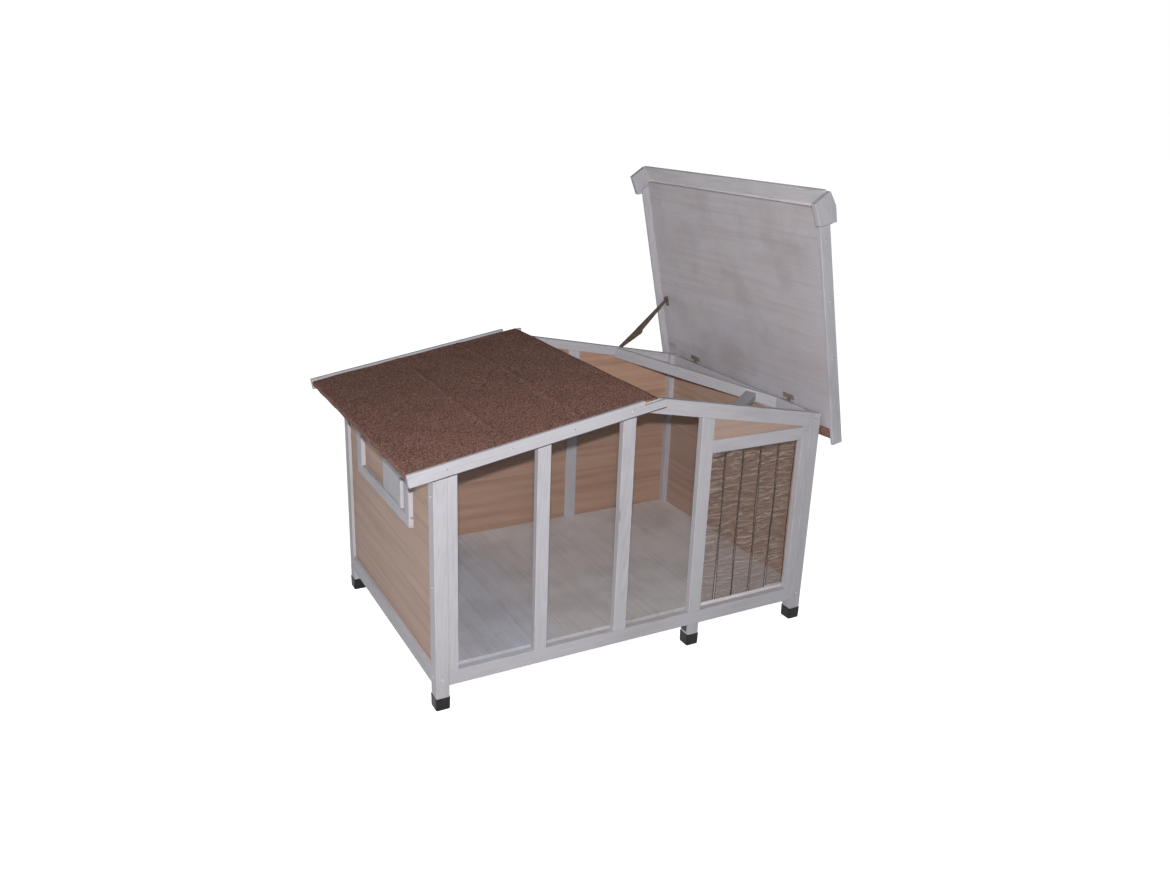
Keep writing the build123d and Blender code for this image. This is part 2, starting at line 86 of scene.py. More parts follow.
# Studio -----------------------------------------------------------------------
# A plain pale floor, a dim even surround, one small lamp close above the eye that throws
# crisp narrow shadows, and a wide soft lamp off to the left that opens the side wall.
class Reading:
    """One shader socket. Arithmetic on it adds Math nodes, so 1 - mask reads as written."""

    def __init__(self, finish, socket):
        self.finish = finish
        self.socket = socket

    def maths(self, operation, *values):
        """One Math node, its values fed in the order given."""
        inputs = {index: value for index, value in enumerate(values)}
        return self.finish.node("ShaderNodeMath", {"operation": operation}, inputs)

    def __add__(self, other):
        return self.maths("ADD", self, other)

    def __radd__(self, other):
        return self.maths("ADD", other, self)

    def __sub__(self, other):
        return self.maths("SUBTRACT", self, other)

    def __rsub__(self, other):
        return self.maths("SUBTRACT", other, self)

    def __mul__(self, other):
        return self.maths("MULTIPLY", self, other)

    def __rmul__(self, other):
        return self.maths("MULTIPLY", other, self)

    def __truediv__(self, other):
        return self.maths("DIVIDE", self, other)

    def __pow__(self, other):
        return self.maths("POWER", self, other)

    def above(self, low, high):
        """0 up to low, 1 from high on, and a smooth rise between them."""
        settings = {"interpolation_type": "SMOOTHSTEP"}
        return self.finish.node("ShaderNodeMapRange", settings, {0: self, 1: low, 2: high})


class Finish:
    """A material and its Principled shader, built up from readings."""

    def __init__(self, name, **constants):
        self.material = bpy.data.materials.new(name)
        self.material.use_nodes = True
        self.tree = self.material.node_tree
        self.shader = self.tree.nodes["Principled BSDF"]
        for key, value in constants.items():
            self.shader.inputs[key.replace("_", " ").title().replace("Ior", "IOR")].default_value = value

    def node(self, kind, settings=None, inputs=None, output=0):
        """Add one node, set it up, feed its sockets and give back one of its outputs."""
        made = self.tree.nodes.new(kind)
        for key, value in (settings or {}).items():
            setattr(made, key, value)
        for key, value in (inputs or {}).items():
            self.feed(made.inputs[key], value)
        return Reading(self, made.outputs[output])

    def feed(self, socket, value):
        """Link a reading to a socket, or set a plain value on it."""
        if isinstance(value, Reading):
            self.tree.links.new(value.socket, socket)
        else:
            socket.default_value = value

    def wear(self, **readings):
        """Feed the shader's own sockets."""
        for key, value in readings.items():
            self.feed(self.shader.inputs[key.replace("_", " ").title()], value)
        return self.material

    def blend(self, share, first, second):
        """first where share is 0, second where it is 1, and their straight mix between."""
        first = (*first, 1.0) if isinstance(first, tuple) else first
        second = (*second, 1.0) if isinstance(second, tuple) else second
        settings = {"data_type": "RGBA"}
        return self.node("ShaderNodeMix", settings, {0: share, 6: first, 7: second}, 2)

    def place(self, scale=(1, 1, 1), turned=(0, 0, 0), uv=None, shift=(0, 0, 0)):
        """Object coordinates, or a named UV map, shifted, turned and scaled, in metres before."""
        if uv:
            here = self.node("ShaderNodeUVMap", {"uv_map": uv})
        else:
            here = self.node("ShaderNodeTexCoord", output="Object")
        inputs = {"Vector": here, "Location": shift, "Rotation": turned, "Scale": scale}
        return self.node("ShaderNodeMapping", None, inputs)

    def noise(self, at, detail=3.0, rough=0.55, scale=1.0, distortion=0.0):
        """Fractal noise from 0 to 1, with detail octaves that each weigh rough times the last."""
        inputs = {
            "Vector": at, "Scale": scale, "Detail": detail, "Roughness": rough, "Distortion": distortion
        }
        return self.node("ShaderNodeTexNoise", None, inputs)

    def bump(self, height, distance, strength=1.0):
        """distance is in metres of relief for a height of one."""
        inputs = {"Height": height, "Distance": distance, "Strength": strength}
        return self.node("ShaderNodeBump", None, inputs)


floor_data = bpy.data.meshes.new("studio_floor")
reach = 40.0
floor_data.from_pydata(
    [(-reach, -reach, 0.0), (reach, -reach, 0.0), (reach, reach, 0.0), (-reach, reach, 0.0)],
    [], [(0, 1, 2, 3)],
)
studio_floor = bpy.data.objects.new("studio_floor", floor_data)
bpy.context.scene.collection.objects.link(studio_floor)
pale = Finish("pale_floor", base_color=(0.9, 0.9, 0.9, 1.0), roughness=0.9)
pale.shader.inputs["Emission Color"].default_value = (1.0, 1.0, 1.0, 1.0)
pale.shader.inputs["Emission Strength"].default_value = 1.0
floor_data.materials.append(pale.material)
studio_floor.visible_diffuse = False
studio_floor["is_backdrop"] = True

surround = bpy.data.worlds.new("surround")
surround.use_nodes = True
sky = surround.node_tree
seen = sky.nodes.new("ShaderNodeLightPath").outputs["Is Camera Ray"]
strength = sky.nodes.new("ShaderNodeMix")
strength.data_type = "FLOAT"
strength.inputs[2].default_value = 0.06
strength.inputs[3].default_value = 1.0
sky.links.new(seen, strength.inputs[0])
sky.links.new(strength.outputs[0], sky.nodes["Background"].inputs["Strength"])
sky.nodes["Background"].inputs["Color"].default_value = (1.0, 1.0, 1.0, 1.0)
bpy.context.scene.world = surround

for name, at, size, energy in (
    ("key_lamp", eye + Vector((0.0, 0.0, 0.095)), 0.03, 58.0),
    ("side_fill", Vector((-3.2, -0.6, 0.9)), 1.6, 15.0),
):
    lamp_data = bpy.data.lights.new(name, "AREA")
    lamp_data.size = size
    lamp_data.energy = energy
    lamp = bpy.data.objects.new(name, lamp_data)
    aim = Vector((0.0, 0.0, 0.4)) - at
    lamp.matrix_world = Matrix.Translation(at) @ aim.to_track_quat("-Z", "Y").to_matrix().to_4x4()
    bpy.context.scene.collection.objects.link(lamp)


# Corner posts, middle legs ------------------------------------------------------
# Four square fir posts run from the feet to the roof and are cut to its slope on top.
# Two short legs stand under the middle. All are sawn, arris-eased and thinly stained white.
boards = 0


def board(name, corners, finish, body="house", node=(), ease=0.0014):
    """One sawn board from the eight corners of its block, corners[t][p][q], t running with the grain.

    Each point blends the eight corners by its shares t, p and q. Round a section the four
    arrises are quarter circles of radius ease, and at each end the section draws in along
    the same quarter circle. The grain map holds metres along and round the board.
    """
    global boards
    boards += 1
    c = np.array(corners, float)
    along = (c[1] - c[0]).mean((0, 1))
    wide = (c[:, 1] - c[:, 0]).mean((0, 1))
    deep = (c[:, :, 1] - c[:, :, 0]).mean((0, 1))
    if np.dot(np.cross(wide, deep), along) < 0:
        c = c[:, ::-1]
    length, wide, deep = (np.linalg.norm(v) for v in (along, wide, deep))
    arc = np.radians([0, 30, 60, 90])
    angle = np.concatenate([arc + math.pi / 2 * k for k in (3, 0, 1, 2)])
    side = np.repeat([[1, -1], [1, 1], [-1, 1], [-1, -1]], 4, axis=0)
    centre = side * np.array([wide / 2 - ease, deep / 2 - ease])
    round_end = np.radians([72, 40, 0])
    inset = ease * (1 - np.cos(round_end))
    depth = ease * (1 - np.sin(round_end))
    t = np.concatenate([depth / length, 1 - depth[::-1] / length])
    shrink = np.concatenate([inset, inset[::-1]])
    spoke = np.stack([np.cos(angle), np.sin(angle)], 1)
    section = centre[None] + spoke[None] * (ease - shrink)[:, None, None]
    p = section[:, :, 0] / wide + 0.5
    q = section[:, :, 1] / deep + 0.5
    rows, count = p.shape
    weights = []
    for share in (np.repeat(t[:, None], count, 1), p, q):
        weights.append(np.stack([1 - share, share]))
    points = np.einsum("aij,bij,cij,abcd->ijd", *weights, c).reshape(-1, 3)
    i, j = (m.ravel() for m in np.meshgrid(np.arange(rows - 1), np.arange(count), indexing="ij"))
    after = (j + 1) % count
    faces = np.stack([i * count + j, i * count + after, (i + 1) * count + after, (i + 1) * count + j], 1)
    faces = faces.tolist() + [list(range(count))[::-1], list(range((rows - 1) * count, rows * count))]
    step = np.linalg.norm(np.diff(section[2], axis=0, append=section[2][:1]), axis=1)
    walk = np.concatenate([[0.0], np.cumsum(step)])
    run = t * length + 1.37 * boards
    u = np.stack([run[i], run[i], run[i + 1], run[i + 1]], 1).ravel()
    v = np.stack([walk[j], walk[j + 1], walk[j + 1], walk[j]], 1).ravel()
    ends = [section[0][::-1] + [run[0], 0.0], section[-1] + [run[-1], 0.0]]
    grain = np.concatenate([np.stack([u, v], 1), *ends])
    rim = (j % 4 < 3) | (i < 2) | (i > rows - 4)
    arris = np.concatenate([rim, [0, 0]]).astype(np.float32)
    data = bpy.data.meshes.new(name)
    data.from_pydata(points.tolist(), [], faces)
    data.uv_layers.new(name="grain").data.foreach_set("uv", grain.astype(np.float32).ravel())
    data.attributes.new("arris", "FLOAT", "FACE").data.foreach_set("value", arris)
    data.materials.append(finish)
    piece = bpy.data.objects.new(name, data)
    bpy.context.scene.collection.objects.link(piece)
    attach(piece, body)
    if node:
        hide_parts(node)
    return piece


def block(low, high, along):
    """Corners of a square-cut board with its grain along axis 0, 1 or 2."""
    others = [a for a in (0, 1, 2) if a != along]
    c = np.zeros((2, 2, 2, 3))
    for t in (0, 1):
        for p in (0, 1):
            for q in (0, 1):
                c[t, p, q, along] = (low, high)[t][along]
                c[t, p, q, others[0]] = (low, high)[p][others[0]]
                c[t, p, q, others[1]] = (low, high)[q][others[1]]
    return c


pitch = math.radians(10.8)
left_pitch = math.radians(9.7)
cabin_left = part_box("corner_post_front_left")[0].x
cabin_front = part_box("corner_post_front_left")[0].y
cabin_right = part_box("corner_post_front_right")[1].x
cabin_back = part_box("corner_post_back_left")[1].y
ridge_x = (cabin_left + cabin_right) / 2
ridge_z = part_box("rafter_front_left")[1].z


def roof(x, drop=0.0):
    """Height of the roof's carrying plane at x, less a drop."""
    fall = np.where(x < ridge_x, math.tan(left_pitch), math.tan(pitch))
    return ridge_z - np.abs(x - ridge_x) * fall - drop


def upright(low, high, drop=0.0):
    """Corners of an upright board whose top follows the roof."""
    c = block(low, high, 2)
    c[1, :, :, 2] = roof(c[1, :, :, 0], drop)
    return c


def stained(name, uv="grain", coat=0.90, tone=(0.585, 0.59, 0.65), rough=0.62):
    """Fir under a thin white stain: drawn-out growth rings, fine fibres, knots and grey hand marks."""
    f = Finish(name, roughness=rough)
    growth = f.noise(f.place((1.1, 30, 1), uv=uv), detail=1.5, rough=0.4)
    rings = ((growth * 120.0).maths("SINE", growth * 120.0) * 0.5 + 0.5) ** 2.0
    fibre = f.noise(f.place((7, 950, 1), uv=uv), detail=2.5, rough=0.7)
    saw = f.noise(f.place((420, 30, 1), uv=uv), detail=1.5, rough=0.5)
    patches = f.noise(f.place((4, 16, 1), uv=uv), detail=4.0, rough=0.62)
    cells = f.node("ShaderNodeTexVoronoi", None, {"Vector": f.place((2.6, 15, 1), uv=uv), "Scale": 1.0})
    knot = 1 - cells.above(0.030, 0.075)
    wood = f.blend(rings, (0.46, 0.34, 0.27), (0.34, 0.235, 0.18))
    wood = f.blend(knot * 0.8, wood, (0.16, 0.09, 0.06))
    cover = coat - rings * 0.07 - fibre.above(0.42, 0.74) * 0.13 - patches.above(0.5, 0.74) * 0.07
    cover = cover - knot * 0.28
    arris = f.node("ShaderNodeAttribute", {"attribute_name": "arris"}, output="Fac")
    cover = cover - arris * patches.above(0.50, 0.66) * 0.30
    grey = tuple(0.84 * v for v in tone)
    paint = f.blend(patches.above(0.40, 0.74) * 0.8 + saw.above(0.55, 0.8) * 0.2, tone, grey)
    colour = f.blend(cover, wood, paint)
    relief = fibre * 0.6 + rings * 0.4
    return f.wear(
        base_color=colour, roughness=rough + fibre * 0.18 - 0.09, normal=f.bump(relief, 0.00035)
    )


white_board = stained("white_stained_fir")
# A paler, brighter copy of the white stain, used on the ridge cap boards.
paler_white_board = stained("paler_white_fir", coat=0.95, tone=(0.78, 0.775, 0.82))

for corner in ("front_left", "front_right", "back_left", "back_right"):
    node = "corner_post_" + corner
    board(node + "_timber", upright(*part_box(node)), white_board, node=node)

leg = 0.035
leg_low, leg_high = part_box("middle_legs")
for name, y in (("front", leg_low.y), ("back", leg_high.y - leg)):
    low = (leg_low.x, y, leg_low.z)
    high = (leg_high.x, y + leg, leg_high.z)
    board("middle_leg_" + name, block(low, high, 2), white_board, node="middle_legs")


# Foot caps --------------------------------------------------------------------
# Push-on caps moulded in black polythene keep the six leg ends off wet ground. Each is a
# square cup with rounded corners, a drawn-in base and a rolled lip.
def mesh_piece(name, points, faces, finish, body, uv=None, smooth=True, node=(), merge=True):
    """Put worked-out points and faces into a piece, close its seams and turn its faces outward."""
    data = bpy.data.meshes.new(name)
    data.from_pydata(np.asarray(points).tolist(), [], np.asarray(faces).tolist())
    if uv is not None:
        loops = np.asarray(faces).ravel()
        data.uv_layers.new(name="grain").data.foreach_set("uv", uv[loops].astype(np.float32).ravel())
    if merge:
        shell = bmesh.new()
        shell.from_mesh(data)
        bmesh.ops.remove_doubles(shell, verts=shell.verts, dist=1e-6)
        bmesh.ops.dissolve_degenerate(shell, dist=1e-7, edges=shell.edges)
        bmesh.ops.recalc_face_normals(shell, faces=shell.faces)
        shell.to_mesh(data)
        shell.free()
    data.polygons.foreach_set("use_smooth", [smooth] * len(data.polygons))
    data.materials.append(finish)
    piece = bpy.data.objects.new(name, data)
    bpy.context.scene.collection.objects.link(piece)
    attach(piece, body)
    if node:
        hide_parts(node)
    return piece


def quads(rows, columns, wrap=False):
    """Faces of a grid of points laid out row by row, closed across its columns if wrap is set."""
    last = columns if wrap else columns - 1
    i, j = (m.ravel() for m in np.meshgrid(np.arange(rows - 1), np.arange(last), indexing="ij"))
    after = (j + 1) % columns
    row, below = i * columns, (i + 1) * columns
    return np.stack([row + j, row + after, below + after, below + j], 1)


polythene = Finish("black_polythene", base_color=(0.012, 0.012, 0.014, 1), specular_ior_level=0.2)
mould = polythene.noise(polythene.place((900, 900, 900)), detail=2.0)
scuff = polythene.noise(polythene.place((60, 60, 220)), detail=4.0)
polythene.wear(
    base_color=polythene.blend(scuff.above(0.52, 0.78), (0.008, 0.008, 0.009), (0.026, 0.025, 0.027)),
    roughness=0.42 + scuff * 0.25,
    normal=polythene.bump(mould, 0.0002),
)

cap_half = leg / 2 + 0.0015
around = np.linspace(0, 2 * math.pi, 65)[:-1]
corner_power = 14.0
square = np.abs(np.cos(around)) ** corner_power + np.abs(np.sin(around)) ** corner_power
square = square ** (-1 / corner_power)
outline = np.stack([np.cos(around) * square, np.sin(around) * square], 1)
profile = np.array([
    (0.0, 0.0), (0.80, 0.0), (0.93, 0.0004), (0.968, 0.0022), (0.985, 0.0075), (1.0, 0.030),
    (1.012, 0.0312), (1.016, 0.0326), (1.006, 0.0338), (0.985, 0.034), (0.935, 0.0339),
    (0.922, 0.0328), (0.922, 0.004), (0.0, 0.004),
])
one_cap = np.concatenate([
    np.repeat(profile[:, None, :1] * cap_half, 64, 1) * outline[None],
    np.repeat(profile[:, None, 1:], 64, 1),
], 2).reshape(-1, 3)
cap_places = []
for x in (cabin_left + leg / 2, (leg_low.x + leg_high.x) / 2, cabin_right - leg / 2):
    for y in (cabin_front + leg / 2, cabin_back - leg / 2):
        cap_places.append((x, y, 0.0))
cap_points = np.concatenate([one_cap + np.array(place) for place in cap_places])
cap_faces = np.concatenate([quads(len(profile), 64, True) + k * len(one_cap) for k in range(6)])
mesh_piece(
    "moulded_foot_caps", cap_points, cap_faces, polythene.material, "house",
    node="foot_caps",
)


# Bottom rails and bearers --------------------------------------------------------
# Rails of the same stained fir are screwed between the posts, and three unstained
# bearers laid on edge between front and back carry the floor.
bare_board = stained("bare_fir", coat=0.16, tone=(0.60, 0.47, 0.38), rough=0.66)
for node in ("bottom_rail_front", "bottom_rail_back"):
    board(node + "_timber", block(*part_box(node), 0), white_board, node=node)
rail_low, rail_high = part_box("bottom_rails_side")
rail_thick = 0.020
for name, x in (("left", rail_low.x), ("right", rail_high.x - rail_thick)):
    low = (x, rail_low.y, rail_low.z)
    high = (x + rail_thick, rail_high.y, rail_high.z)
    board("bottom_rail_" + name, block(low, high, 1), white_board, node="bottom_rails_side")
bearer_thick = 0.030
bearer_step = 0.400
bearer_low, bearer_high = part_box("floor_bearers")
for number, x in enumerate((bearer_low.x, bearer_low.x + bearer_step, bearer_high.x - bearer_thick)):
    low = (x, bearer_low.y, bearer_low.z)
    high = (x + bearer_thick, bearer_high.y, bearer_high.z)
    name = "floor_bearer_%d" % (number + 1)
    board(name, block(low, high, 1), bare_board, node="floor_bearers")


# Sheets of plywood ----------------------------------------------------------------
# Walls and gable are fir plywood left in its own colour. The floor and the roof panels
# are the same sheet washed with a milky stain that pools paler and greyer in places.
# On the floor the milk is painted bluer at the left, where the fixed roof shades it, as
# painted shade, and warmer towards the right.
def plywood(name, light, dark, wash, grain, rough=0.6, knots=0.085):
    """Rotary-cut veneer: near-parallel lines of a long drawn-out noise, fine fibres and a few knots."""
    f = Finish(name, roughness=rough)
    cells = f.node(
        "ShaderNodeTexVoronoi", None,
        {"Vector": f.place(tuple(2.2 if a == grain else 6.0 for a in range(3))), "Scale": 1.0},
    )
    knot = 1 - cells.above(knots * 0.35, knots)
    pull = 1 - cells.above(0.0, 0.34)
    here = f.place(tuple(0.45 if a == grain else 13.0 for a in range(3)))
    growth = f.noise(here, detail=2.0, rough=0.5) + pull * 0.05
    lines = growth * 75.0
    lines = (lines.maths("SINE", lines) * 0.5 + 0.5) ** 1.8
    streak = f.noise(f.place(tuple(1.2 if a == grain else 55.0 for a in range(3))), detail=3.0, rough=0.65)
    fibre = f.noise(f.place(tuple(7.0 if a == grain else 480.0 for a in range(3))), detail=2.5, rough=0.7)
    cloud = f.noise(f.place((3.2, 3.2, 3.2)), detail=4.0, rough=0.62)
    share = lines * 0.14 + streak.above(0.36, 0.70) * 0.50 + fibre.above(0.42, 0.78) * 0.28
    wood = f.blend(share, light, dark)
    wood = f.blend(cloud.above(0.35, 0.75) * 0.35, wood, tuple(0.80 * v for v in light))
    wood = f.blend(knot * 0.8, wood, tuple(0.28 * v for v in dark))
    if wash:
        cover, milk_and_painted_shade, far_milk = wash
        # Painted shade: the milk runs from a cool bluish tint at the left, where the fixed roof shades the
        # floor, to a warm one at the right.
        across = f.node("ShaderNodeSeparateXYZ", None, {0: f.place()})
        milk_and_painted_shade = f.blend((across + cloud * 0.10).above(-0.26, -0.06), milk_and_painted_shade, far_milk)
        cover = cover + cloud.above(0.3, 0.72) * 0.20 - lines * 0.05 - streak.above(0.48, 0.75) * 0.14
        cover = cover - fibre.above(0.4, 0.75) * 0.16 - knot * 0.2
        blotch = f.noise(f.place((6.0, 6.0, 6.0), shift=(3, 1, 2)), detail=4.0, rough=0.65)
        blotched_milk_and_painted_shade = f.blend(blotch.above(0.42, 0.68) * 0.16, milk_and_painted_shade, (0.02, 0.02, 0.02))
        wood = f.blend(cover, wood, blotched_milk_and_painted_shade)
    return f.wear(
        base_color=wood, roughness=rough + fibre * 0.16 - 0.08,
        normal=f.bump(fibre * 0.6 + streak * 0.4, 0.0003),
    )


def dress(node, finish):
    """Give a carried-over CAD part its finish."""
    mesh = frame["nodes"][node].data
    mesh.materials.clear()
    mesh.materials.append(finish)


fir_light = (0.54, 0.37, 0.295)
fir_dark = (0.335, 0.20, 0.15)
side_ply = plywood("side_wall_plywood", fir_light, fir_dark, None, 1)
long_ply = plywood("back_wall_plywood", (0.57, 0.36, 0.26), (0.30, 0.155, 0.10), None, 0)
gable_ply = plywood("gable_plywood", (0.50, 0.345, 0.285), (0.36, 0.225, 0.175), None, 0)
# The floor's first milk is a bluish painted shade for its left part, and the second is the warm milk at
# the right.
floor_wash_and_painted_shade = (0.84, (0.80, 0.85, 0.98), (0.90, 0.87, 0.88))
roof_wash = (0.79, (0.60, 0.595, 0.655), (0.60, 0.595, 0.655))
floor_ply = plywood("washed_floor_plywood", fir_light, fir_dark, floor_wash_and_painted_shade, 1)
roof_ply = plywood("washed_roof_plywood", fir_light, fir_dark, roof_wash, 1)
for node in ("left_wall_panel", "right_wall_panel"):
    dress(node, side_ply)
for node in ("back_panel_left", "back_panel_right"):
    dress(node, long_ply)
dress("gable_infill", gable_ply)
dress("floor_panel", floor_ply)
dress("fixed_roof_panel", roof_ply)
dress("lid_panel", roof_ply)


# Front frame --------------------------------------------------------------------
# Stiles, mullions and the door post stand on the front rail and stop under the rafters.
# The header closes the doorway and the rafters lie on edge to the ridge.
rail_depth = 0.040 / math.cos(pitch)
back_depth = 0.028 / math.cos(pitch)
stile = 0.024
low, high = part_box("front_stiles")
for name, x in (("left", low.x), ("right", high.x - stile)):
    corners = upright((x, low.y, low.z), (x + stile, high.y, high.z), rail_depth)
    board("front_stile_" + name, corners, white_board, node="front_stiles")
low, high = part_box("window_mullions")
for name, x0, x1 in (("left", low.x, low.x + 0.035), ("right", high.x - 0.037, high.x)):
    corners = upright((x0, low.y, low.z), (x1, high.y, high.z), rail_depth)
    board("window_mullion_" + name, corners, white_board, node="window_mullions")
board("door_post_timber", upright(*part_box("door_post"), rail_depth), white_board, node="door_post")
board("door_header_timber", block(*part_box("door_header"), 0), white_board, node="door_header")


def rafter(low, high, depth):
    """Corners of a board on edge whose long sides follow the roof and whose ends are plumb."""
    c = block(low, high, 0)
    c[..., 2] = roof(c[..., 0]) - depth * (1 - np.array([0, 1]))
    return c


for node, depth in (
    ("rafter_front_left", rail_depth), ("rafter_front_right", rail_depth),
    ("rafter_back_left", back_depth), ("rafter_back_right", back_depth),
):
    board(node + "_timber", rafter(*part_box(node), depth), white_board, node=node)
board("back_stile_timber", upright(*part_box("back_stile"), back_depth), white_board, node="back_stile")
for node, shift in (("top_rail_left", 0.0), ("top_rail_right", 0.002)):
    c = block(*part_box(node), 1)
    c[..., 1, 2] = roof(c[..., 1, 0], shift)
    board(node + "_timber", c, white_board, node=node)


# Window panes ---------------------------------------------------------------------
# Three sheets of clear acrylic are pinned behind the frame. Faint dust and wiping marks
# barely dull what stands behind them.
acrylic = Finish("clear_acrylic", roughness=0.08, ior=1.49)
dust = acrylic.noise(acrylic.place((9, 9, 4)), detail=5.0, rough=0.65)
wipe = acrylic.noise(acrylic.place((2, 2, 60), turned=(0, 0.5, 0)), detail=3.0)
acrylic.wear(
    alpha=0.08 + dust.above(0.45, 0.8) * 0.03,
    roughness=0.05 + wipe * 0.12,
    base_color=acrylic.blend(dust, (0.03, 0.03, 0.032), (0.09, 0.09, 0.092)),
)
for name in ("left", "middle", "right"):
    dress("window_pane_" + name, acrylic.material)


# Vent ---------------------------------------------------------------------------
# A small frame of white slats on the left wall holds a sliding board in its grooves.
# The board has an upright finger pull screwed on and uncovers a hole in the wall.
vent_low, vent_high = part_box("vent_frame")
slat = 0.028
vent_front = vent_low.y
vent_back = vent_high.y
shutter_low, shutter_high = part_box("vent_shutter")
board(
    "vent_shutter_board", block(shutter_low, shutter_high, 2), white_board, body="shutter",
    node="vent_shutter", ease=0.0008,
)
board(
    "shutter_pull_bar", block(*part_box("shutter_pull"), 2), white_board, body="shutter",
    node="shutter_pull", ease=0.0028,
)


def cut_shape(name, outline, through, grain, finish, body, node=(), ease=0.0012, segments=2):
    """A flat outline given a thickness, with its arrises eased by a bevel.

    The outline's points are carried along the vector through. The grain map holds, for each
    face, metres along the grain vector and metres across it.
    """
    edge = np.asarray(outline, float)
    count = len(edge)
    points = np.concatenate([edge, edge + through])
    area = sum(np.cross(edge[k] - edge[0], edge[(k + 1) % count] - edge[0]) for k in range(count))
    k = np.arange(count)
    sides = np.stack([k, (k + 1) % count, (k + 1) % count + count, k + count], 1)
    if np.dot(area, through) > 0:
        faces = [list(range(count))[::-1], list(range(count, 2 * count))] + sides.tolist()
    else:
        faces = [list(range(count)), list(range(2 * count - 1, count - 1, -1))] + sides[:, ::-1].tolist()
    data = bpy.data.meshes.new(name)
    data.from_pydata(points.tolist(), [], faces)
    data.update()
    along = np.array(grain, float) / np.linalg.norm(grain)
    places = []
    for face in data.polygons:
        over = np.cross(np.array(face.normal), along)
        size = np.linalg.norm(over)
        over = over / size if size > 0.3 else np.roll(along, 1)
        corner = points[list(face.vertices)]
        start = 1.9 * len(name) + 0.7 * float(np.dot(edge[0], edge[0]))
        places.append(np.stack([corner @ along + start, corner @ over + 0.31 * face.index], 1))
    grain_map = np.concatenate(places).astype(np.float32)
    data.uv_layers.new(name="grain").data.foreach_set("uv", grain_map.ravel())
    data.materials.append(finish)
    piece = bpy.data.objects.new(name, data)
    bpy.context.scene.collection.objects.link(piece)
    bevel = piece.modifiers.new("eased_arrises", "BEVEL")
    bevel.width = ease
    bevel.segments = segments
    bevel.limit_method = "ANGLE"
    bevel.angle_limit = math.radians(25)
    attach(piece, body)
    if node:
        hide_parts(node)
    return piece


outer = vent_low.x
inner = vent_high.x
groove_out = outer + 0.005
groove_in = outer + 0.010
vent_run = np.array(Vector((0.0, vent_back - vent_front, 0.0)))
for name, foot, lip in (("low", vent_low.z, slat), ("high", vent_high.z, -slat)):
    dip = lip - math.copysign(0.0055, lip)
    section = [
        (outer, foot), (outer, foot + lip), (groove_out, foot + lip), (groove_out, foot + dip),
        (groove_in, foot + dip), (groove_in, foot + lip), (inner, foot + lip), (inner, foot),
    ]
    outline = [(x, vent_front, z) for x, z in section]
    cut_shape(
        "vent_slat_" + name, outline, vent_run, (0, 1, 0), white_board, "house",
        node="vent_frame", ease=0.0008,
    )
back_slat = slat + 0.010
for name, y0, y1 in (("front", vent_front, vent_front + slat), ("back", vent_back - back_slat, vent_back)):
    low = (outer, y0, vent_low.z + slat)
    high = (inner, y1, vent_high.z - slat)
    board("vent_slat_" + name, block(low, high, 2), white_board, node="vent_frame", ease=0.0009)


# Roof braces ---------------------------------------------------------------------
# Two stained boards keep the open half of the frame square. The back one stands on edge
# from rafter to rail. The front one lies flat at 45 degrees and butts against it.
brace_half = 0.009
brace_depth = 0.034 / math.cos(pitch)
rail_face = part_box("top_rail_right")[0].x


def plan(x, y):
    """A plan point measured from the cabin's front left corner."""
    return np.array([cabin_left + x, cabin_front + y])


def brace(start, end, start_y):
    """Corners of an upright board between two plan points, cut square to the rafter and rail."""
    run = (end - start) / np.linalg.norm(end - start)
    beside = np.array([-run[1], run[0]]) * brace_half
    c = np.zeros((2, 2, 2, 3))
    for p, offset in enumerate((-beside, beside)):
        near = start + offset
        near = near + run * (start_y - near[1]) / run[1]
        far = end + offset
        far = far + run * min(0.0, (rail_face - far[0]) / run[0])
        for q in (0, 1):
            for t, at in enumerate((near, far)):
                c[t, p, q] = (*at, roof(at[0]) - (brace_depth if q == 0 else 0.001))
    return c


back_brace = brace(plan(0.8863, 0.738), plan(1.124, 0.158), cabin_back - 0.020)
board("roof_brace_back", back_brace, white_board, node="roof_braces")
front_brace = np.zeros((2, 2, 2, 3))
sides = ((plan(0.8287, 0.020), plan(1.0715, 0.2628)), (plan(0.8733, 0.020), plan(1.0844, 0.2311)))
for p, ends in enumerate(sides):
    for t, at in enumerate(ends):
        for q, drop in enumerate((0.008 + 0.018 / math.cos(pitch), 0.008)):
            front_brace[t, p, q] = (*at, roof(at[0], drop))
board("roof_brace_front", front_brace, white_board, node="roof_braces")


# Fixed roof half ------------------------------------------------------------------
# A washed plywood panel lies on the frame and white barge boards close its two sides,
# each notched near the ridge so that the lid's cap can come down over it.
hinge_x = cabin_right + 0.005
barge_thick = 0.010
roof_low, roof_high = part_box("fixed_barge_front"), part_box("fixed_barge_back")
front_edge = roof_low[0].y
back_edge = roof_high[1].y


def right_slope(s, n):
    """(x, z) at s up the right slope from the hinge line and n above the roof plane."""
    x = hinge_x - s * math.cos(pitch) + n * math.sin(pitch)
    z = roof(hinge_x) + s * math.sin(pitch) + n * math.cos(pitch)
    return x, z


cap_s = (hinge_x - ridge_x) / math.cos(pitch)


def left_slope(s, n):
    """(x, z) on the left slope, where s is the same as on the right slope at the ridge."""
    x = ridge_x - (cap_s - s) * math.cos(left_pitch) - n * math.sin(left_pitch)
    z = ridge_z - (cap_s - s) * math.sin(left_pitch) + n * math.cos(left_pitch)
    return x, z


def slope_to(x, n):
    """How far up the right slope the plumb line at x is met, n above the roof plane."""
    return (hinge_x + n * math.sin(pitch) - x) / math.cos(pitch)


def left_slope_to(x, n):
    """The same on the left slope."""
    return cap_s - (ridge_x - x - n * math.sin(left_pitch)) / math.cos(left_pitch)


